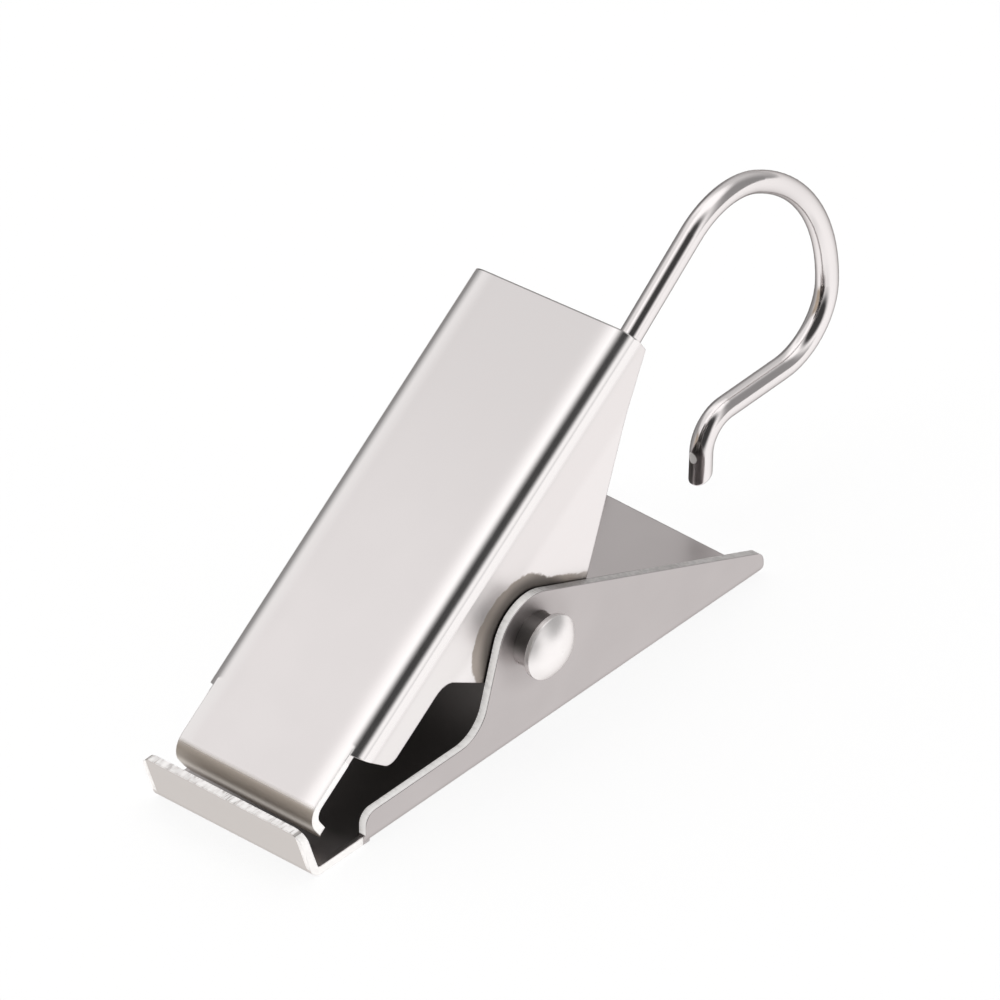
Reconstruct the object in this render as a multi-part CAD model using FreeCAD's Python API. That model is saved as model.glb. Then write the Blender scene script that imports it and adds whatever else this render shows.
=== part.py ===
import FreeCAD, Part
import os
from math import acos, atan2, cos, degrees, hypot, pi, radians, sin, tan

Vec = FreeCAD.Vector

# Sheet metal, shared by both jaws
sheet = 0.6
rear_bend_inside = 0.1
front_bend_inside = 0.65
side_clearance = 0.08
running_clearance = 0.05
lip_corner = 0.9
edge_round = 0.12

# Pivot: height of its axis over the rear plate's outer face, and the rivet
pivot_height = 7.3
pin_diameter = 3.6
head_diameter = 4.4
head_rim = 0.35
head_dome = 0.85
rivet_end_play = 1.25

# Rear jaw, lengths measured from the pivot axis along the plate
rear_width = 13.45
rear_handle = 21.3
rear_tail = 22.05
rear_ear_front = 15.7
rear_lip_foot = 20.35
rear_nose_width = 13.0
rear_strip_height = 2.35
rear_ear_radius = 3.15
rear_ear_rise = 72.8
rear_ear_fall = 22.5
rear_lip_height = 4.0
rear_lip_rise = 70.3
rear_lip_bend = 0.4
rear_ear_foot_round = 2.5
rear_corner = 0.9
rear_tail_round = 0.7

# Front jaw, measured from the pivot axis along the plate and down from its outer face
jaw_angle = 35.4
front_pivot_depth = 8.7
front_handle = 18.25
front_handle_skew = 3.0
front_flange_front = 13.4
front_flange_rake = 17.2
front_nose_end = 18.35
front_nose_width = 11.2
front_strip_depth = 3.9
front_strip_end = 5.95
front_ear_lean = 65.0
front_ear_depth = 12.3
front_handle_depth = 2.4
front_edge_fall = 34.8
front_lip_depth = 2.9
front_lip_rise = 90.0
front_lip_bend = 0.75
front_lobe_round = 1.1
front_ear_foot_round = 1.6
front_ear_round = 3.0
front_heel_round = 2.0
front_handle_corner = 0.3
front_splay = 0.5
front_splay_clearance = 0.5
front_splay_round = 8.0

# Wire hook: an eye round the pin, a straight shank, three arcs and a flared tip
hook_wire = 1.5
eye_wrap = 285.0
shank_angle = 39.0
shank_length = 27.25
loop_top_radius = 5.8
loop_top_turn = 65.0
loop_side_radius = 12.3
loop_side_turn = 65.3
loop_low_radius = 4.5
loop_low_turn = 88.0
loop_return = 5.3
flare_radius = 2.3
flare_turn = 86.8
flare_tip = 2.1
tip_cut_angle = 28.0

# Torsion spring: one coil each side of the hook's eye
spring_wire = 0.8
spring_pin_gap = 0.25
spring_turns = 2
spring_wire_sides = 8
spring_turn_gap = 0.05
spring_eye_gap = 0.3
spring_reach = 9.0

# Sizes that follow from the driving ones
front_width = rear_width - 2 * (sheet + side_clearance)
front_splay_depth = front_pivot_depth - rear_ear_radius - front_splay_clearance
pin_radius = pin_diameter / 2
hole_radius = pin_radius + running_clearance
eye_radius = hole_radius + hook_wire / 2
coil_radius = pin_radius + spring_pin_gap + spring_wire / 2
coil_inner_x = hook_wire / 2 + spring_eye_gap + spring_wire / 2
coil_pitch = spring_wire + spring_turn_gap


def line_meet(p, d, q, e):
    """Meeting point of the line through p along d with the line through q along e."""
    cross = d[0] * e[1] - d[1] * e[0]
    along = ((q[0] - p[0]) * e[1] - (q[1] - p[1]) * e[0]) / cross
    return (p[0] + along * d[0], p[1] + along * d[1])


def rounded_face(corners, place):
    """Flat face from corners (a, b, radius); place turns (a, b) into a point."""
    count = len(corners)
    joints = []
    for i, (a, b, radius) in enumerate(corners):
        before, after = corners[i - 1], corners[(i + 1) % count]
        back = (before[0] - a, before[1] - b)
        ahead = (after[0] - a, after[1] - b)
        back_length, ahead_length = hypot(*back), hypot(*ahead)
        back = (back[0] / back_length, back[1] / back_length)
        ahead = (ahead[0] / ahead_length, ahead[1] / ahead_length)
        if radius == 0:
            joints.append(((a, b), None, (a, b)))
            continue
        half = acos(back[0] * ahead[0] + back[1] * ahead[1]) / 2
        reach = radius / tan(half)
        middle = (back[0] + ahead[0], back[1] + ahead[1])
        middle_length = hypot(*middle)
        inset = radius / sin(half) - radius
        joints.append((
            (a + reach * back[0], b + reach * back[1]),
            (a + inset * middle[0] / middle_length, b + inset * middle[1] / middle_length),
            (a + reach * ahead[0], b + reach * ahead[1]),
        ))
    edges = []
    for i, (start, arc_middle, end) in enumerate(joints):
        if arc_middle:
            edges.append(Part.Arc(place(*start), place(*arc_middle), place(*end)).toShape())
        following = joints[(i + 1) % count][0]
        if hypot(following[0] - end[0], following[1] - end[1]) > 1e-6:
            edges.append(Part.LineSegment(place(*end), place(*following)).toShape())
    return Part.Face(Part.Wire(edges))


def across(corners, width):
    """Side outline in (y, z), extruded across the mid-plane to the given width."""
    face = rounded_face(corners, lambda y, z: Vec(-width / 2, y, z))
    return face.extrude(Vec(width, 0, 0))


def channel(flange, plate_half, bend_inside, y_front, y_rear):
    """Folded channel: plate on z = 0; each flange runs from its free edge through (x, z, radius)."""
    outer = [*flange, (plate_half, 0, bend_inside + sheet)]
    inner = [(x - sheet, z, r) for x, z, r in flange] + [(plate_half - sheet, sheet, bend_inside)]
    right = [*reversed(outer), *inner]
    section = right + [(-x, z, r) for x, z, r in reversed(right)]
    face = rounded_face(section, lambda x, z: Vec(x, y_front, z))
    return face.extrude(Vec(0, y_rear - y_front, 0))


def nose(width, bend_inside, y_joined, foot, rise, lip_height):
    """Plain front of a jaw: flat strip whose end is folded up into a lip.

    foot is where the lip's outer face meets z = 0, rise the lip's angle from the
    forward direction, lip_height the height of its edge."""
    forward = (-1.0, 0.0)
    lip = (-cos(radians(rise)), sin(radians(rise)))
    inward = (lip[1], -lip[0])
    top = (-foot + lip_height / lip[1] * lip[0], lip_height)
    top_inside = (top[0] + sheet * inward[0], top[1] + sheet * inward[1])
    inner_foot = line_meet((y_joined, sheet), forward, top_inside, lip)
    outline = [
        (y_joined, 0, 0), (-foot, 0, bend_inside + sheet), (*top, edge_round),
        (*top_inside, edge_round), (*inner_foot, bend_inside), (y_joined, sheet, 0),
    ]
    strip = across(outline, width)
    half = width / 2
    front_view = [
        (-half, -sheet, 0), (half, -sheet, 0),
        (half, lip_height, lip_corner), (-half, lip_height, lip_corner),
    ]
    face = rounded_face(front_view, lambda x, z: Vec(x, 2 * top[0], z))
    return strip.common(face.extrude(Vec(0, y_joined - 2 * top[0], 0)))


def pin_hole(radius, height):
    """Cutter for the pin's holes through both flanges."""
    return Part.makeCylinder(radius, 2 * rear_width, Vec(-rear_width, 0, height), Vec(1, 0, 0))


def make_rear_jaw():
    rise, fall = radians(rear_ear_rise), radians(rear_ear_fall)
    pivot = (0, pivot_height)
    rise_point = (-rear_ear_radius * sin(rise), pivot[1] + rear_ear_radius * cos(rise))
    fall_point = (rear_ear_radius * sin(fall), pivot[1] + rear_ear_radius * cos(fall))
    rise_line, fall_line = (cos(rise), sin(rise)), (cos(fall), -sin(fall))
    strip_corner = line_meet(rise_point, rise_line, (0, rear_strip_height), (1, 0))
    ear_peak = line_meet(rise_point, rise_line, fall_point, fall_line)
    tail = line_meet(fall_point, fall_line, (rear_tail, 0), (0, 1))
    outline = [
        (-rear_ear_front, 0, 0), (-rear_ear_front, rear_strip_height, rear_corner),
        (*strip_corner, rear_ear_foot_round), (*ear_peak, rear_ear_radius),
        (*tail, rear_corner), (rear_tail, 0, rear_tail_round),
    ]
    top = pivot_height + 2 * rear_ear_radius
    half = rear_width / 2
    body = channel([(half, top, 0)], half, rear_bend_inside, -rear_ear_front, rear_tail)
    body = body.common(across(outline, 2 * rear_width))

    # The plate stops short of the ears' tails
    inner_width = rear_width - 2 * sheet
    short_plate = Part.makeBox(inner_width, rear_tail, top, Vec(-inner_width / 2, rear_handle, 0))
    body = body.cut(short_plate)
    front = nose(rear_nose_width, rear_lip_bend, sheet - rear_ear_front, rear_lip_foot,
                 rear_lip_rise, rear_lip_height)
    return body.fuse(front).removeSplitter().cut(pin_hole(pin_radius, pivot_height))


def make_front_jaw():
    """Made like the rear jaw, plate down, then turned over on to the pivot."""
    lean, fall = radians(front_ear_lean), radians(front_edge_fall)
    strip_corner = (-front_strip_end, front_strip_depth)
    ear_front = line_meet(strip_corner, (cos(lean), sin(lean)), (0, front_ear_depth), (1, 0))
    handle_corner = (front_handle, front_handle_depth)
    ear_rear = line_meet(handle_corner, (-cos(fall), sin(fall)), (0, front_ear_depth), (1, 0))
    lobe = front_strip_depth * tan(radians(front_flange_rake)) - front_flange_front
    outline = [
        (-front_flange_front, -sheet, 0), (-front_flange_front, 0, 0),
        (lobe, front_strip_depth, front_lobe_round), (*strip_corner, front_ear_foot_round),
        (*ear_front, front_ear_round),
        (*ear_rear, front_heel_round), (*handle_corner, front_handle_corner), (front_handle, -sheet, 0),
    ]
    half = front_width / 2 + front_splay
    flange = [(front_width / 2, 2 * front_ear_depth, 0), (front_width / 2, front_splay_depth, front_splay_round)]
    body = channel(flange, half, front_bend_inside, -front_flange_front, front_handle)
    body = body.common(across(outline, 2 * rear_width))
    short_side = front_handle - 2 * half * tan(radians(front_handle_skew))
    offcut = [(-half, front_handle, 0), (half, short_side, 0), (half, front_handle, 0)]
    offcut_face = rounded_face(offcut, lambda x, y: Vec(x, y, 0))
    body = body.cut(offcut_face.extrude(Vec(0, 0, front_ear_depth)))
    front = nose(front_nose_width, front_lip_bend, sheet - front_flange_front, front_nose_end,
                 front_lip_rise, front_lip_depth)
    jaw = body.fuse(front).removeSplitter().cut(pin_hole(hole_radius, front_pivot_depth))
    jaw.translate(Vec(0, 0, -front_pivot_depth))
    jaw.rotate(Vec(), Vec(0, 1, 0), 180)
    jaw.rotate(Vec(), Vec(1, 0, 0), jaw_angle)
    jaw.translate(Vec(0, 0, pivot_height))
    return jaw


def make_rivet():
    """Pin with a domed head at each end; its end play is all on the +X side."""
    far_seat = -rear_width / 2
    near_seat = rear_width / 2 + rivet_end_play

    def head(seat, side):
        rim = seat + side * head_rim
        top = rim + side * head_dome
        dome_radius = (head_dome ** 2 + (head_diameter / 2) ** 2) / (2 * head_dome)
        slope = atan2(head_diameter / 2, dome_radius - head_dome) / 2
        shoulder = Vec(top - side * dome_radius * (1 - cos(slope)), 0, dome_radius * sin(slope))
        edges = [
            Part.LineSegment(Vec(seat, 0, 0), Vec(seat, 0, head_diameter / 2)).toShape(),
            Part.LineSegment(Vec(seat, 0, head_diameter / 2), Vec(rim, 0, head_diameter / 2)).toShape(),
            Part.Arc(Vec(rim, 0, head_diameter / 2), shoulder, Vec(top, 0, 0)).toShape(),
            Part.LineSegment(Vec(top, 0, 0), Vec(seat, 0, 0)).toShape(),
        ]
        return Part.Face(Part.Wire(edges)).revolve(Vec(), Vec(1, 0, 0), 360)

    pin = Part.makeCylinder(pin_radius, near_seat - far_seat, Vec(far_seat, 0, 0), Vec(1, 0, 0))
    rivet = pin.fuse([head(far_seat, -1), head(near_seat, 1)]).removeSplitter()
    rivet.translate(Vec(0, 0, pivot_height))
    return rivet


class WirePath:
    """Straight runs and tangent arcs in the mid-plane, drawn from a start point and direction."""

    def __init__(self, y, z, heading):
        self.at = (y, z)
        self.heading = radians(heading)
        self.edges = []

    def run(self, length):
        end = (self.at[0] + length * cos(self.heading), self.at[1] + length * sin(self.heading))
        self.edges.append(Part.LineSegment(Vec(0, *self.at), Vec(0, *end)).toShape())
        self.at = end

    def turn(self, radius, angle):
        """Positive angles turn left, towards the upper side of the heading."""
        side = 1 if angle > 0 else -1
        y = self.at[0] - side * radius * sin(self.heading)
        z = self.at[1] + side * radius * cos(self.heading)

        def point(part):
            heading = self.heading + radians(angle) * part
            return (y + side * radius * sin(heading), z - side * radius * cos(heading))

        middle, end = point(0.5), point(1.0)
        self.edges.append(Part.Arc(Vec(0, *self.at), Vec(0, *middle), Vec(0, *end)).toShape())
        self.at = end
        self.heading += radians(angle)

    def sweep(self, diameter):
        path = Part.Wire(self.edges)
        start = path.Edges[0]
        ring = Part.makeCircle(diameter / 2, start.valueAt(start.FirstParameter),
                               start.tangentAt(start.FirstParameter))
        return path.makePipeShell([Part.Wire(ring)], True, False)


def make_hook():
    """The shank leaves the eye under the pin, so the eye is drawn from its end round to there."""
    heading = shank_angle - eye_wrap
    start_y = eye_radius * sin(radians(heading))
    start_z = pivot_height - eye_radius * cos(radians(heading))
    path = WirePath(start_y, start_z, heading)
    path.turn(eye_radius, eye_wrap)
    path.run(shank_length)
    path.turn(loop_top_radius, -loop_top_turn)
    path.turn(loop_side_radius, -loop_side_turn)
    path.turn(loop_low_radius, -loop_low_turn)
    path.run(loop_return)
    path.turn(flare_radius, flare_turn)
    path.run(flare_tip)
    hook = path.sweep(hook_wire)
    cutter = Part.makeBox(4 * hook_wire, 4 * hook_wire, hook_wire,
                          Vec(-2 * hook_wire, -2 * hook_wire, -hook_wire))
    cutter.rotate(Vec(), Vec(1, 0, 0), tip_cut_angle)
    cutter.translate(Vec(0, path.at[0], path.at[1] + hook_wire / 2 * tan(radians(tip_cut_angle))))
    return hook.cut(cutter)


def make_spring():
    """Half of the spring, swept from the middle of its loop to its foot, and its mirror image."""
    loop_lift = front_pivot_depth - sheet - spring_wire / 2
    loop_end = Vec(0, spring_reach, loop_lift)
    loop_end = FreeCAD.Rotation(Vec(1, 0, 0), jaw_angle).multVec(loop_end)
    foot = Vec(0, spring_reach, sheet + spring_wire / 2 - pivot_height)

    # Coil between the points where the two legs touch it
    start = atan2(loop_end.z, loop_end.y) + acos(coil_radius / loop_end.Length)
    end = atan2(foot.z, foot.y) - acos(coil_radius / foot.Length)
    wound = (end - start) % (2 * pi) + 2 * pi * spring_turns
    rise = coil_pitch * wound / (2 * pi)
    helix = Part.makeHelix(coil_pitch, rise, coil_radius)
    helix.rotate(Vec(), Vec(0, 0, 1), degrees(start))
    lay_down = FreeCAD.Placement(Vec(coil_inner_x, 0, 0), FreeCAD.Rotation(Vec(1, 1, 1), 120))
    helix.Placement = lay_down * helix.Placement
    coil_start = Vec(coil_inner_x, coil_radius * cos(start), coil_radius * sin(start))
    coil_end = Vec(coil_inner_x + rise, coil_radius * cos(end), coil_radius * sin(end))

    # Both legs keep the coil's slope: one drifts out to the foot, one in to the loop
    lean = atan2(coil_pitch, 2 * pi * coil_radius)
    foot.x = coil_end.x + tan(lean) * hypot(foot.y - coil_end.y, foot.z - coil_end.z)
    leg = loop_end - coil_start + Vec(coil_inner_x, 0, 0)
    along = leg / leg.Length
    bend = (coil_inner_x * cos(lean) - leg.Length * sin(lean)) / (1 - sin(lean))
    centre = loop_end - along * bend

    def on_loop(angle):
        return centre + Vec(bend * cos(angle), 0, 0) + along * (bend * sin(angle))

    top, shoulder, leg_end = on_loop(pi / 2), on_loop((pi / 2 + lean) / 2), on_loop(lean)
    path = Part.Wire([
        Part.Arc(top, shoulder, leg_end).toShape(),
        Part.LineSegment(leg_end, coil_start).toShape(),
        *helix.Edges,
        Part.LineSegment(coil_end, foot).toShape(),
    ])
    section = Part.makePolygon([
        top + FreeCAD.Rotation(Vec(1, 0, 0), 360 * i / spring_wire_sides).multVec(along * spring_wire / 2)
        for i in range(spring_wire_sides + 1)
    ])
    half = path.makePipeShell([section], True, False)
    spring = half.fuse(half.mirror(Vec(), Vec(1, 0, 0)))
    spring.translate(Vec(0, 0, pivot_height))
    return spring


pieces = {
    "rear_jaw": make_rear_jaw(),
    "front_jaw": make_front_jaw(),
    "pivot_rivet": make_rivet(),
    "hook": make_hook(),
    "torsion_spring": make_spring(),
}

os.makedirs("parts", exist_ok=True)
for name, shape in pieces.items():
    shape.Solids[0].exportStep(f"parts/{name}.step")
    print(name, "solids", len(shape.Solids), "valid", shape.isValid(), "volume %.2f" % shape.Volume)
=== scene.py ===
from math import acos, atan2, cos, hypot, pi, radians, sin, tan

import bmesh
import bpy
from mathutils import Matrix, Vector


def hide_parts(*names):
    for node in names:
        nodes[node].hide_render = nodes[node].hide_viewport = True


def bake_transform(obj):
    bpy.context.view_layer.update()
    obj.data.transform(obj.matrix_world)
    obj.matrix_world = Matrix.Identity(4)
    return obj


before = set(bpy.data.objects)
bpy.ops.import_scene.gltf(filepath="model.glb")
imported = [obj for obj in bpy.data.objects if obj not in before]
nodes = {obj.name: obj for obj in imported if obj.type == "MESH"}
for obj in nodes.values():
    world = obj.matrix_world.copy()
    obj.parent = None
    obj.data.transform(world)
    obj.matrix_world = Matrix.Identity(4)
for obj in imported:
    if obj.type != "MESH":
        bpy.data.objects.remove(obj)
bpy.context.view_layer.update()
mm = 0.001
print("frame loaded:", ", ".join(sorted(nodes)))


# shader sockets that work in plain sums
class Value:
    def __init__(self, tree, socket):
        self.tree = tree
        self.socket = socket

    def math(self, operation, other=0.0, swap=False):
        node = self.tree.nodes.new("ShaderNodeMath")
        node.operation = operation
        parts = (other, self) if swap else (self, other)
        for slot, part in zip(node.inputs, parts):
            if isinstance(part, Value):
                self.tree.links.new(part.socket, slot)
            else:
                slot.default_value = part
        return Value(self.tree, node.outputs[0])

    def __add__(self, other):
        return self.math("ADD", other)

    def __sub__(self, other):
        return self.math("SUBTRACT", other)

    def __rsub__(self, other):
        return self.math("SUBTRACT", other, swap=True)

    def __mul__(self, other):
        return self.math("MULTIPLY", other)

    def __abs__(self):
        return self.math("ABSOLUTE")

    def __or__(self, other):            # the stronger of two masks
        return self.math("MAXIMUM", other)

    __radd__ = __add__
    __rmul__ = __mul__

    def step(self, low, high):          # 0 at low, 1 at high, smooth between
        node = self.tree.nodes.new("ShaderNodeMapRange")
        node.interpolation_type = "SMOOTHSTEP"
        self.tree.links.new(self.socket, node.inputs["Value"])
        node.inputs["From Min"].default_value = min(low, high)
        node.inputs["From Max"].default_value = max(low, high)
        node.inputs["To Min"].default_value = 0.0 if low < high else 1.0
        node.inputs["To Max"].default_value = 1.0 if low < high else 0.0
        return Value(self.tree, node.outputs["Result"])

    def clamp(self, low, high):
        return self.math("MAXIMUM", low).math("MINIMUM", high)

    def between(self, low, high, soft=0.02):
        return self.step(low - soft, low + soft) * self.step(high + soft, high - soft)


class Shading:
    def __init__(self, tree):
        self.tree = tree
        tree.nodes.clear()

    # any node: its type, its settings, then the values or links of its sockets
    def add(self, kind, settings=None, sockets=None, out=0):
        node = self.tree.nodes.new("ShaderNode" + kind)
        for key, value in (settings or {}).items():
            setattr(node, key, value)
        for key, value in (sockets or {}).items():
            if isinstance(value, Value):
                self.tree.links.new(value.socket, node.inputs[key])
            else:
                node.inputs[key].default_value = value
        return Value(self.tree, node.outputs[out]) if node.outputs else None

    def mixColor(self, factor, first, second):
        return self.add("Mix", {"data_type": "RGBA"}, {0: factor, 6: first, 7: second}, out=2)

    def dot(self, vector, direction):
        sockets = {0: vector, 1: direction}
        return self.add("VectorMath", {"operation": "DOT_PRODUCT"}, sockets, out=1)

    def millimetres(self, place):
        return [part * 1000 for part in self.split(place)]

    def split(self, vector):
        first = self.add("SeparateXYZ", None, {0: vector})
        return [Value(self.tree, output) for output in first.socket.node.outputs]

    def noise(self, vector, scale, detail=2.0):
        sockets = {"Vector": vector, "Scale": scale, "Detail": detail, "Roughness": 0.55}
        return self.add("TexNoise", None, sockets)

    def bump(self, height, distance, strength=1.0, normal=None):
        sockets = {"Strength": strength, "Distance": distance, "Height": height}
        if normal:
            sockets["Normal"] = normal
        return self.add("Bump", None, sockets)


def newFinish(name):
    material = bpy.data.materials.new(name)
    material.use_nodes = True
    material.cycles.emission_sampling = "NONE"      # the faint gleams are not lamps
    return material, Shading(material.node_tree)


# plated metal: drawn grain and faint clouding, then whatever marks the piece adds
def platedMetal(name, look, marks=None):
    material, shade = newFinish(name)
    place = shade.add("TexCoord", out=3)
    stretched = shade.add("Mapping", {"vector_type": "POINT"},
                          {"Vector": place, "Rotation": look["turn"], "Scale": look["grainScale"]})
    grain = shade.noise(stretched, 1.0, 3.0)
    cloud = shade.noise(place, look["cloudScale"])
    tint = shade.mixColor(cloud.step(*look["cloudSpan"]), look["color"], look["cloudColor"])
    rough = look["roughness"] + (grain - 0.5) * look["grainRough"]
    rough = rough + (cloud - 0.5) * look["cloudRough"]
    normal = shade.add("Bevel", {"samples": 8}, {"Radius": look["edge"]})
    normal = shade.bump(grain, look["bumpHeight"], look["bump"], normal)
    shine, gleam = 1.0, noGleam
    if marks:
        tint, rough, normal, shine, gleam = marks(shade, place, tint, rough, normal)
    metal = shade.add("BsdfPrincipled", None, {
        "Base Color": tint, "Metallic": shine, "Roughness": rough, "Normal": normal,
        "Specular Tint": look["rimTint"], "Emission Color": gleam, "Emission Strength": 1.0,
    })
    shade.add("OutputMaterial", None, {"Surface": metal})
    return material


frontSheet = {
    "color": (0.905, 0.866, 0.864, 1), "rimTint": (0.62, 0.6, 0.59, 1), "roughness": 0.13,
    "cloudColor": (0.88, 0.842, 0.84, 1), "cloudScale": 160.0, "cloudSpan": (0.3, 0.7), "cloudRough": 0.03,
    "turn": (radians(-35.4), 0, 0), "grainScale": (2600.0, 500.0, 2600.0), "grainRough": 0.05,
    "bump": 0.04, "bumpHeight": 0.02 * mm, "edge": 0.12 * mm,
}
rearSheet = dict(frontSheet, turn=(0, 0, 0), color=(0.615, 0.579, 0.577, 1),
                 cloudColor=(0.592, 0.557, 0.555, 1), roughness=0.33, edge=0.14 * mm)
cutEdge = {
    "color": (1, 0.985, 0.975, 1), "streak": (0.76, 0.735, 0.72, 1), "streakSpan": (0.48, 0.66),
    "alongX": (13000.0, 1100.0, 1100.0), "aside": (1100.0, 9000.0, 9000.0),
    "roughness": 0.35, "shine": 0.1, "gleam": (0.24, 0.233, 0.23, 1),
}
# near-black: painted shade inside the jaws, near the pivot and on the rivet's neck; also the dark line along
# the handle's edge and the dark side of the hook's cut tip
deepInside = (0.1, 0.093, 0.088, 1)
noGleam = (0, 0, 0, 1)


# shorn edges of the sheet: pale, partly the bare steel's tone and partly a painted highlight, with fine lines
# through the thickness and a faint glow that is a painted highlight
def addCutEdge(shade, place, cut, run, tint, rough, shine=1.0, gleam=noGleam):
    lines = shade.noise(shade.add("Mapping", None, {"Vector": place, "Scale": cutEdge[run]}), 1.0)
    lines = lines.step(*cutEdge["streakSpan"])
    paleAndLit = shade.mixColor(lines, cutEdge["color"], cutEdge["streak"])
    rough = rough + cut * (cutEdge["roughness"] - rough)
    # painted highlight: the edges glow faintly, less in the streaks
    gleam = shade.mixColor(cut * (1 - lines), gleam, cutEdge["gleam"])
    return shade.mixColor(cut, tint, paleAndLit), rough, shine - cut * (1 - cutEdge["shine"]), gleam


# front jaw: sides rolled over towards the folds, a painted reflection of the ear round the pivot, inner faces
# painted dark as shade
frontJaw = {
    # form, in mm: along runs up the plate from the pivot, depth goes down from the plate's face
    "half": 6.045, "splay": 0.5, "splayDepth": 5.05, "thinning": 0.135, "sheet": 0.6, "noseHalf": 5.6,
    "angle": radians(35.4), "pivotDepth": 8.7, "pivotHeight": 7.3, "noseBend": (-17.0, 1.35),
    "handle": 18.25, "skew": tan(radians(3.0)),
    "rollStart": 3.7, "bendStart": 5.3, "rollEnd": 5.65, "rollSlope": 0.11,
    # colours and where they begin and end
    # topShade is painted shade; foldLight, flangeLight and lowLight are painted light
    "face": (0.05, 0.02), "plateDepth": (0.6, 0.3), "topShade": (0.80, 0.768, 0.766, 1), "topRun": (-10.0, 19.0),
    "foldLight": (0.94, 0.912, 0.908, 1), "foldAside": (4.3, 5.4), "foldDepth": (2.2, 1.2), "foldRough": 0.03,
    "flangeLight": (0.972, 0.934, 0.932, 1), "flangeDepth": (1.2, 1.6), "flangeRough": 0.21,
    "lowLight": (1, 0.975, 0.97, 1), "lowRun": (3.0, -9.0),
    "cutFace": (0.02, 0.06), "cutDepth": (1.3, 1.4), "noseRun": (-13.8, -14.0),
    "edgeGleam": (0.5, 0.49, 0.48, 1), "edgeRun": (-8.0, -12.0),
    "insideDark": 0.85, "insideRough": 0.25, "rimWide": (0.14, 0.06), "rimDepth": (0.3, 0.1), "rimDark": 0.75,
    "lipColor": (0.6, 0.545, 0.485, 1), "lipGleam": (0.22, 0.21, 0.195, 1), "lipRun": (-17.15, -17.85),
    "lipReflectionDepth": ((0.6, 1.15), (2.3, 1.2)), "lipRough": 0.26, "lipDull": 0.65,
}
# the ear's reflection on the front flange, painted in, with painted shade near the pivot
earReflection = {
    "color": (0.46, 0.405, 0.36, 1), "strength": 0.9, "rough": 0.15, "ragged": 0.5, "raggedScale": 1400.0,
    "centre": (-0.95, 0.55), "radius": 4.0, "soft": 0.1, "pivotShade": (4.6, 3.5), "pivotShadeDark": 0.75,
    "earFall": radians(22.5), "earRadius": 3.15, "tail": (0.6, 0.4),
    "tailStart": (-0.5, 0.5), "tailEnd": (8.5, 4.0),
}


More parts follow.
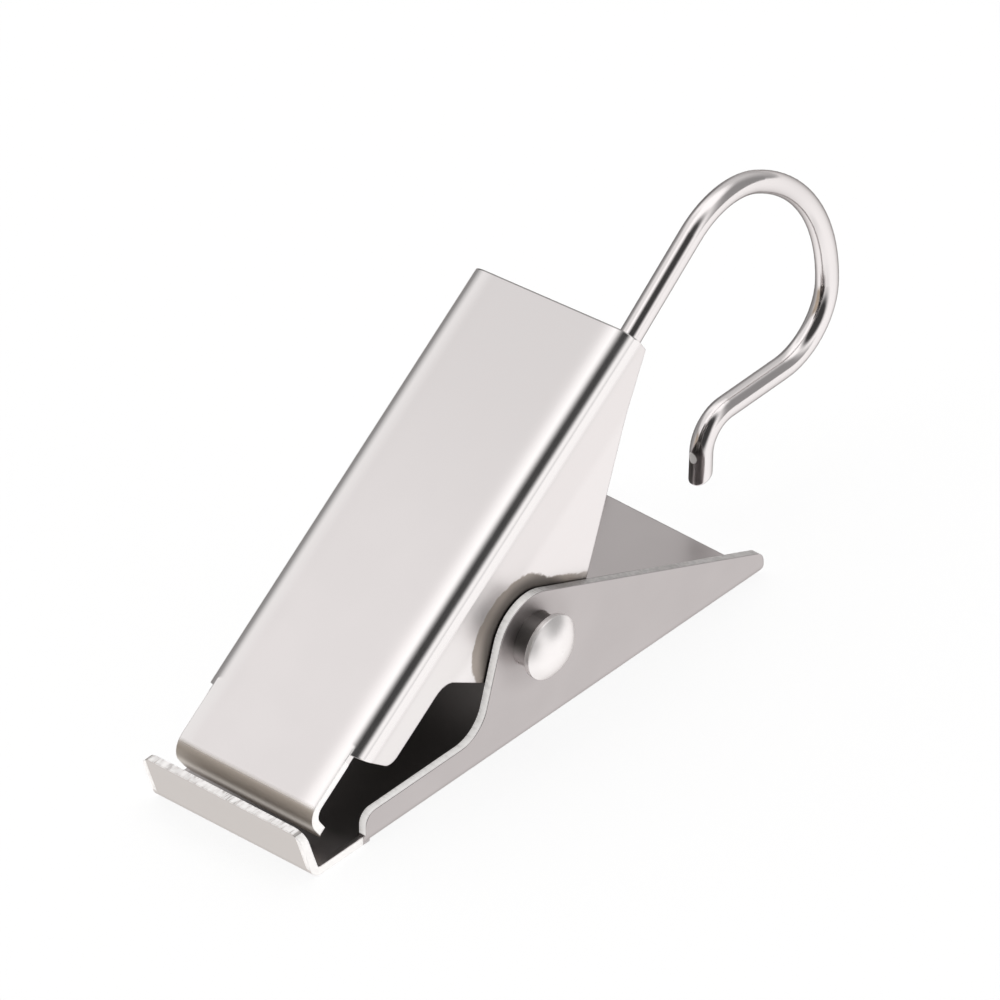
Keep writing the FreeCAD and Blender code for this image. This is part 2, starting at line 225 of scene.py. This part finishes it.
def frontMarks(shade, place, tint, rough, normal):
    look = frontJaw
    x, y, z = shade.millimetres(place)
    aside, lift = abs(x), z - look["pivotHeight"]
    along = y * cos(look["angle"]) + lift * sin(look["angle"])
    depth = look["pivotDepth"] + y * sin(look["angle"]) - lift * cos(look["angle"])
    sheet = look["sheet"]
    spread = (1 - depth * (1 / look["splayDepth"])).math("MAXIMUM", 0.0) * look["splay"]
    inward = look["half"] + spread - aside      # from the flange's outer face into the sheet
    plate = depth.step(*look["plateDepth"])
    # painted shade: the plate's top is tinted darker than the rest of the sheet
    tint = shade.mixColor(plate * along.step(*look["topRun"]), tint, look["topShade"])

    fold = aside.step(*look["foldAside"]) * depth.step(*look["foldDepth"])
    satinAndLight = inward.step(*look["face"]) * depth.step(*look["flangeDepth"])   # flanges shine less than the plate
    # painted light: the flanges, lightest low down, and the fold are tinted lighter than the plate
    tint = shade.mixColor(satinAndLight, tint, look["flangeLight"])
    tint = shade.mixColor(satinAndLight * along.step(*look["lowRun"]), tint, look["lowLight"])
    tint = shade.mixColor(fold, tint, look["foldLight"])

    # the plate tips over gently before the fold takes it round
    flat, turn = look["bendStart"] - look["rollStart"], look["rollEnd"] - look["bendStart"]
    early = (aside - look["rollStart"]).clamp(0.0, flat)
    late = (aside - look["bendStart"]).clamp(0.0, turn)
    drop = early * early * (0.5 / flat) + late - late * late * (0.5 / turn)
    normal = shade.bump(drop * -look["rollSlope"], mm, 1.0, normal)

    over = inward - sheet + spread * look["thinning"]           # past the flange's inner face
    near, far = look["cutFace"]
    cut = inward.step(near, far) * over.step(-near, -far) * depth.step(*look["cutDepth"])
    noseSide = aside.step(look["noseHalf"] - 0.03, look["noseHalf"] - 0.01)
    cut = cut | noseSide * along.step(*look["noseRun"])
    tint, rough, shine, gleam = addCutEdge(shade, place, cut, "aside", tint, rough)

    # the ear's reflection on the flange, painted in brownish and darker still near the pivot: painted
    # reflection and painted shade; the flange is rougher there
    ragged = (shade.noise(place, earReflection["raggedScale"], 3.0) - 0.5) * earReflection["ragged"]
    byY, byZ = y - earReflection["centre"][0], lift - earReflection["centre"][1]
    reach = (byY * byY + byZ * byZ).math("SQRT") + ragged
    tail = y * sin(earReflection["earFall"]) + lift * cos(earReflection["earFall"]) - earReflection["earRadius"] + ragged
    tail = tail.step(*earReflection["tail"]) * y.step(*earReflection["tailStart"]) * y.step(*earReflection["tailEnd"])
    mirroredEar = reach.step(earReflection["radius"] + earReflection["soft"], earReflection["radius"] - earReflection["soft"]) | tail
    mirroredEar = mirroredEar * inward.step(*look["face"])
    pivotShade = (y * y + lift * lift).math("SQRT").step(*earReflection["pivotShade"]) * earReflection["pivotShadeDark"] * mirroredEar
    tint = shade.mixColor(mirroredEar * earReflection["strength"], tint, earReflection["color"])
    tint = shade.mixColor(pivotShade, tint, deepInside)

    # distance from the nose bend's axis tells the outer skin of plate, bend and lip from the inside
    axis, bend = look["noseBend"]
    beyond = (axis - along).math("MAXIMUM", 0.0)
    within = (bend - depth).math("MAXIMUM", 0.0)
    skin = (beyond * beyond + within * within).math("SQRT").step(bend - 0.15, bend - 0.05)
    inside = depth.step(sheet - 0.08, sheet - 0.02) * over.step(-far, -near) * (1 - skin) * (1 - cut)
    # painted shade: the inner faces are darkened
    tint = shade.mixColor(inside * look["insideDark"], tint, deepInside)
    edgeLine = along + (look["half"] - x) * look["skew"] - look["handle"]
    rim = edgeLine.step(-look["rimWide"][0], -look["rimWide"][1]) * depth.step(*look["rimDepth"])
    tint = shade.mixColor(rim * look["rimDark"], tint, deepInside)

    # the lip is brownish and dull, painted shade, with a faint glow along its middle that is a painted
    # reflection
    lip = along.step(*look["lipRun"]) * skin * (1 - cut)
    tint = shade.mixColor(lip, tint, look["lipColor"])
    lipReflection = depth.step(*look["lipReflectionDepth"][0]) * depth.step(*look["lipReflectionDepth"][1])
    # painted highlight: the cut edges towards the nose glow brighter
    gleam = shade.mixColor(cut * along.step(*look["edgeRun"]), gleam, look["edgeGleam"])
    gleam = shade.mixColor(lip * lipReflection, gleam, look["lipGleam"])
    rough = rough + inside * look["insideRough"] + mirroredEar * earReflection["rough"] + lip * look["lipRough"]
    rough = rough + satinAndLight * look["flangeRough"] + fold * look["foldRough"]
    return tint, rough, normal, shine * (1 - lip * look["lipDull"]), gleam


# rear jaw: bright shorn edges, partly painted highlight; inner faces painted dark as shade except towards the
# handle
rearJaw = {
    "half": 6.725, "sheet": 0.6, "noseHalf": 6.5, "lipTop": 4.0, "earFront": -15.7, "pivotHeight": 7.3,
    "cutRise": (0.75, 0.85), "edgeGleam": (0.5, 0.49, 0.48, 1), "gleamRun": (1.5, -1.0), "gleamFall": 0.5,
    "lipColor": (0.84, 0.805, 0.78, 1), "lipRun": (-20.0, -20.6), "lipEdgeRun": (-19.0, -20.0),
    "dimEdgeColor": (0.54, 0.515, 0.505, 1), "dimEdgeDark": (0.4, 0.385, 0.375, 1), "dimEdgeRun": (-1.0, 3.0),
    "dimEdge": 0.8, "speckScale": 2600.0, "speckSpan": (0.42, 0.6), "ring": (4.2, 2.6), "ringRough": 0.15,
    "clear": (13.0, 8.0), "noseRun": (-18.5, -16.0), "noseDark": 0.1, "insideDark": 0.75, "insideRough": 0.2,
}


def rearMarks(shade, place, tint, rough, normal):
    look = rearJaw
    x, y, z = shade.millimetres(place)
    aside, lift = abs(x), z - look["pivotHeight"]
    half, sheet = look["half"], look["sheet"]
    inner = half - sheet
    cut = aside.between(inner + 0.04, half - 0.04) * z.step(*look["cutRise"])
    dimEdge = cut * y.step(*look["dimEdgeRun"])       # the long edge up to the tail is no brighter than the ear
    lipEdge = z.step(look["lipTop"] - 0.1, look["lipTop"] - 0.06) * y.step(*look["lipEdgeRun"])
    noseSide = aside.step(look["noseHalf"] - 0.03, look["noseHalf"] - 0.01)
    cut = cut | noseSide * y.step(look["earFront"], look["earFront"] - 0.05)
    tint = shade.mixColor(y.step(*look["lipRun"]), tint, look["lipColor"])
    tint, rough, shine, gleam = addCutEdge(shade, place, cut * (1 - lipEdge), "aside", tint, rough)
    tint, rough, shine, gleam = addCutEdge(shade, place, lipEdge, "alongX", tint, rough, shine, gleam)
    # the long edge towards the tail is toned grey and speckled, and left without the glow
    speck = shade.noise(place, look["speckScale"], 3.0).step(*look["speckSpan"])
    speckled = shade.mixColor(speck, look["dimEdgeDark"], look["dimEdgeColor"])
    tint = shade.mixColor(dimEdge * look["dimEdge"], tint, speckled)
    ring = (y * y + lift * lift).math("SQRT").step(*look["ring"]) * aside.step(half - 0.05, half - 0.02)
    rough = rough + ring * look["ringRough"]
    # painted shade: the inner faces are darkened, only faintly at the nose and not towards the handle
    inside = z.step(sheet - 0.08, sheet - 0.02) * aside.step(inner + 0.06, inner + 0.02)
    inside = inside * y.step(*look["clear"]) * (1 - cut) * (1 - lipEdge)
    inside = inside * (look["noseDark"] + y.step(*look["noseRun"]) * look["insideDark"])
    tint = shade.mixColor(inside, tint, deepInside)
    # painted highlight: the edges by the ear glow, less on their inner side
    bright = cut * y.step(*look["gleamRun"]) * (1 - aside.step(half, inner) * look["gleamFall"])
    gleam = shade.mixColor(bright, gleam, look["edgeGleam"])
    gleam = shade.mixColor(dimEdge, gleam, noGleam)
    return tint, rough + inside * look["insideRough"], normal, shine, gleam


# rivet: satin domed heads with a faint glow on the domes, a painted highlight; the neck between head and ear is
# painted dark, painted shade
rivetMetal = dict(frontSheet, turn=(0, 0, 0), color=(0.97, 0.94, 0.935, 1), cloudColor=(0.94, 0.91, 0.905, 1),
                  grainScale=(1500.0, 1500.0, 1500.0), roughness=0.36, cloudScale=700.0, cloudRough=0.1)
rivetHead = {
    "neck": (6.7, 7.95), "neckSoft": 0.05, "neckLow": 0.12, "neckHigh": 0.68, "neckRise": (6.2, 8.0),
    "dome": (7.85, 8.0), "gleam": (0.09, 0.088, 0.086, 1),
}


def rivetMarks(shade, place, tint, rough, normal):
    look = rivetHead
    x, y, z = shade.millimetres(place)
    # painted shade: the neck is darkened, most on its upper side
    neck = abs(x).between(*look["neck"], look["neckSoft"])
    neck = neck * (look["neckLow"] + z.step(*look["neckRise"]) * look["neckHigh"])
    # painted highlight: a faint glow on the dome
    gleam = shade.mixColor(abs(x).step(*look["dome"]), noGleam, look["gleam"])
    return shade.mixColor(neck, tint, deepInside), rough, normal, 1.0, gleam


# hook: bright drawn wire, its cut tip dark on one side with a pinch mark from the cutters; the pinch mark's
# faint glow is a painted highlight
hookWire = dict(frontSheet, turn=(radians(-39), 0, 0), roughness=0.15, rimTint=(0.25, 0.24, 0.235, 1))
hookTip = {
    "height": (5.5, 4.9), "side": (0.2, -0.1), "run": (21.5, 25.5), "soft": 0.1, "dark": 0.85, "rough": 0.15,
    "nick": (-0.14, 23.14, 5.0), "nickSpan": (0.42, 0.34), "nickColor": (0.7, 0.68, 0.67, 1),
    "nickGleam": (0.16, 0.155, 0.15, 1), "nickRough": 0.2, "nickDull": 0.8,
}


def hookMarks(shade, place, tint, rough, normal):
    look = hookTip
    x, y, z = shade.millimetres(place)
    dark = z.step(*look["height"]) * x.step(*look["side"]) * y.between(*look["run"], look["soft"])
    away = [part - at for part, at in zip((x, y, z), look["nick"])]
    away = (away[0] * away[0] + away[1] * away[1] + away[2] * away[2]).math("SQRT")
    nick = away.step(*look["nickSpan"])
    tint = shade.mixColor(dark * look["dark"], tint, deepInside)
    tint = shade.mixColor(nick, tint, look["nickColor"])
    # painted highlight: the pinch mark glows faintly
    gleam = shade.mixColor(nick, noGleam, look["nickGleam"])
    rough = rough + dark * look["rough"] + nick * look["nickRough"]
    return tint, rough, normal, 1 - nick * look["nickDull"], gleam


finishes = {
    "front_jaw": platedMetal("frontJawPlate", frontSheet, frontMarks),
    "rear_jaw": platedMetal("rearJawPlate", rearSheet, rearMarks),
    "pivot_rivet": platedMetal("rivetPolish", rivetMetal, rivetMarks),
    "hook": platedMetal("hookPolish", hookWire, hookMarks),
}
for name, material in finishes.items():
    nodes[name].data.materials.clear()
    nodes[name].data.materials.append(material)
print("finishes:", len(finishes))

# torsion spring: a round wire coil each side of the hook's eye, feet on the rear plate, loop under the front
spring = {
    "wire": 0.8, "coil": 2.45, "pitch": 0.85, "inner": 1.45, "turns": 2, "reach": 9.0, "pivotHeight": 7.3,
    "loopLift": 7.7, "footLift": -6.3, "sides": 12, "stepsPerTurn": 28, "loopSteps": 8,
    "mirrorWeld": 0.01, "weld": 0.005,
    "finish": dict(frontSheet, turn=(0, 0, 0), color=(0.45, 0.44, 0.43, 1), cloudColor=(0.4, 0.39, 0.38, 1),
                   roughness=0.3),
}


def makeSpring(look):
    loopEnd = Matrix.Rotation(frontJaw["angle"], 3, "X") @ Vector((0, look["reach"], look["loopLift"]))
    foot = Vector((0, look["reach"], look["footLift"]))
    coil = look["coil"]
    start = atan2(loopEnd.z, loopEnd.y) + acos(coil / loopEnd.length)
    end = atan2(foot.z, foot.y) - acos(coil / foot.length)
    wound = (end - start) % (2 * pi) + 2 * pi * look["turns"]
    rise = look["pitch"] * wound / (2 * pi)
    lean = atan2(look["pitch"], 2 * pi * coil)
    coilStart = Vector((look["inner"], coil * cos(start), coil * sin(start)))
    coilEnd = Vector((look["inner"] + rise, coil * cos(end), coil * sin(end)))
    foot.x = coilEnd.x + tan(lean) * hypot(foot.y - coilEnd.y, foot.z - coilEnd.z)

    # leg and half loop from the coil's start to the middle
    leg = loopEnd - coilStart
    leg.x = 0
    along = leg.normalized()
    bend = (look["inner"] * cos(lean) - leg.length * sin(lean)) / (1 - sin(lean))
    centre = loopEnd - along * bend
    legEnd = centre + Vector((bend * cos(lean), 0, 0)) + along * (bend * sin(lean))

    build = bmesh.new()
    heading = (legEnd - coilStart).normalized().to_track_quat("Z", "Y")
    bmesh.ops.create_circle(build, segments=look["sides"], radius=look["wire"] / 2,
                            matrix=Matrix.Translation(coilStart) @ heading.to_matrix().to_4x4())
    edges = build.edges[:]
    steps = round(look["stepsPerTurn"] * wound / (2 * pi))
    turned = bmesh.ops.spin(build, geom=edges, cent=(0, 0, 0), axis=(1, 0, 0), dvec=(rise / steps, 0, 0),
                            angle=wound, steps=steps)
    lastEdges = [item for item in turned["geom_last"] if isinstance(item, bmesh.types.BMEdge)]
    grown = bmesh.ops.extrude_edge_only(build, edges=lastEdges)["geom"]
    footVerts = [item for item in grown if isinstance(item, bmesh.types.BMVert)]
    bmesh.ops.translate(build, vec=foot - coilEnd, verts=footVerts)
    bmesh.ops.contextual_create(build, geom=footVerts)

    grown = bmesh.ops.extrude_edge_only(build, edges=edges)["geom"]
    legVerts = [item for item in grown if isinstance(item, bmesh.types.BMVert)]
    bmesh.ops.translate(build, vec=legEnd - coilStart, verts=legVerts)
    legEdges = [item for item in grown if isinstance(item, bmesh.types.BMEdge)
                and all(vert in legVerts for vert in item.verts)]
    bmesh.ops.spin(build, geom=legEdges, cent=centre, axis=Vector((1, 0, 0)).cross(along), dvec=(0, 0, 0),
                   angle=pi / 2 - lean, steps=look["loopSteps"])
    half = build.verts[:] + build.edges[:] + build.faces[:]
    bmesh.ops.mirror(build, geom=half, axis="X", merge_dist=look["mirrorWeld"])
    bmesh.ops.remove_doubles(build, verts=build.verts, dist=look["weld"])
    bmesh.ops.recalc_face_normals(build, faces=build.faces)
    for face in build.faces:
        face.smooth = len(face.verts) == 4
    lifted = Matrix.Scale(mm, 4) @ Matrix.Translation((0, 0, look["pivotHeight"]))
    bmesh.ops.transform(build, matrix=lifted, verts=build.verts)
    mesh = bpy.data.meshes.new("springWire")
    build.to_mesh(mesh)
    build.free()
    return mesh


mesh = makeSpring(spring)
mesh.materials.append(platedMetal("springDrawn", spring["finish"]))
wire = bpy.data.objects.new("springWire", mesh)
bpy.context.scene.collection.objects.link(wire)
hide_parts("torsion_spring")
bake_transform(wire)
print("spring:", len(mesh.polygons), "faces")

# stage: thin floor with a soft shadow; metal looks through it to the tent, the lens to the backdrop
floorLook = {"size": 1.2, "sides": 96, "color": (0.97, 0.97, 0.97, 1), "lift": -0.00002, "clear": 0.82}
mesh = bpy.data.meshes.new("floor")
build = bmesh.new()
bmesh.ops.create_circle(build, cap_ends=True, segments=floorLook["sides"], radius=floorLook["size"] / 2)
bmesh.ops.translate(build, vec=(0, 0, floorLook["lift"]), verts=build.verts)
build.to_mesh(mesh)
build.free()
floor = bpy.data.objects.new("floor", mesh)
bpy.context.scene.collection.objects.link(floor)
material, shade = newFinish("floorWhite")
seen = shade.add("LightPath", out=0)
glossy = Value(material.node_tree, seen.socket.node.outputs["Is Glossy Ray"])
paper = shade.add("BsdfDiffuse", None, {"Color": floorLook["color"]})
clear = shade.add("BsdfTransparent")
both = shade.add("MixShader", None, {0: seen * floorLook["clear"] | glossy, 1: paper, 2: clear})
shade.add("OutputMaterial", None, {"Surface": both})
mesh.materials.append(material)

# light tent: bright above and to the right, dim behind and at the left, a dark gap round the lens
tent = {
    "white": (1, 0.99, 0.985, 1), "top": 1.15, "under": 0.9, "underUp": (0.05, -0.1), "backdrop": 1.08,
    "right": (0.756, 0.655, 0), "upward": (-0.387, 0.446, 0.807), "forward": (0.654, -0.756, 0),
    "gap": (0.76, 0.37), "gapFoot": -0.3, "gapAhead": (0.1, 0.3), "gapDark": 0.96,
    "backNorth": (-0.1, 0.5), "backTop": (0.95, 0.7), "backFoot": (-0.02, 0.03), "backDark": 0.45,
    "cornerEast": (-0.3, 0.4), "cornerDark": 0.55,
    "leftEast": (-0.6, -0.92), "leftUp": (0.62, 0.15), "leftDark": 0.68,
    "sideEast": (-0.34, -0.5), "sideUp": (0.0, 0.2), "sideNorth": (0.1, -0.15), "sideDark": 0.26,
}
# a brown strip low down at the front, for the nose
strip = {
    "color": (0.41, 0.345, 0.275, 1), "foot": (-0.5, -0.4), "top": (0.42, 0.22),
    "east": (-0.75, 0.1), "soft": 0.15, "north": (-0.2, -0.5),
}
world = bpy.data.worlds.new("tent")
bpy.context.scene.world = world
world.use_nodes = True
shade = Shading(world.node_tree)
way = shade.add("TexCoord", out=0)
east, north, up = shade.split(way)
across = shade.dot(way, tent["right"])
above = shade.dot(way, tent["upward"])
above = above - above.clamp(tent["gapFoot"], 0.0)
gap = (across * across + above * above).math("SQRT").step(*tent["gap"])
gap = gap * shade.dot(way, tent["forward"]).step(*tent["gapAhead"])
back = north.step(*tent["backNorth"]) * up.step(*tent["backTop"]) * up.step(*tent["backFoot"])
corner = back * east.step(*tent["cornerEast"])
left = east.step(*tent["leftEast"]) * up.step(*tent["leftUp"])
side = east.step(*tent["sideEast"]) * up.step(*tent["sideUp"]) * north.step(*tent["sideNorth"])
low = up.step(*strip["foot"]) * up.step(*strip["top"])
low = low * east.between(*strip["east"], strip["soft"]) * north.step(*strip["north"])
level = tent["top"] * (1 - back * tent["backDark"]) * (1 - corner * tent["cornerDark"])
level = level * (1 - gap * tent["gapDark"]) * (1 - side * tent["sideDark"]) * (1 - left * tent["leftDark"])
level = level * (1 - up.step(*tent["underUp"]) * (1 - tent["under"]))
shown = shade.add("LightPath", out=0)
color = shade.mixColor(low, tent["white"], strip["color"])
paint = shade.add("Background", None, {"Color": color, "Strength": level})
backdrop = shade.add("Background", None, {"Color": (1, 1, 1, 1), "Strength": tent["backdrop"]})
both = shade.add("MixShader", None, {0: shown, 1: paint, 2: backdrop})
shade.add("OutputWorld", None, {"Surface": both})
print("stage and tent done")

# camera: a long lens, nearly parallel view
shot = {
    "azimuth": 40.9, "elevation": 36.2, "target": (0.11, 4.59, 12.15), "distance": 2.757, "across": 62.03,
    "sensor": 36.0,
}
turn, rise = radians(shot["azimuth"]), radians(shot["elevation"])
backward = Vector((sin(turn) * cos(rise), -cos(turn) * cos(rise), sin(rise)))
lensData = bpy.data.cameras.new("lens")
lensData.sensor_width = shot["sensor"]
lensData.lens = shot["sensor"] * shot["distance"] / (shot["across"] * mm)
lensData.clip_start = 0.1
lensData.clip_end = 10.0
camera = bpy.data.objects.new("camera", lensData)
bpy.context.scene.collection.objects.link(camera)
camera.location = Vector(shot["target"]) * mm + backward * shot["distance"]
camera.rotation_mode = "QUATERNION"
camera.rotation_quaternion = (-backward).to_track_quat("-Z", "Y")
bpy.context.scene.camera = camera
bpy.context.scene.view_settings.view_transform = "Standard"

print("camera set")
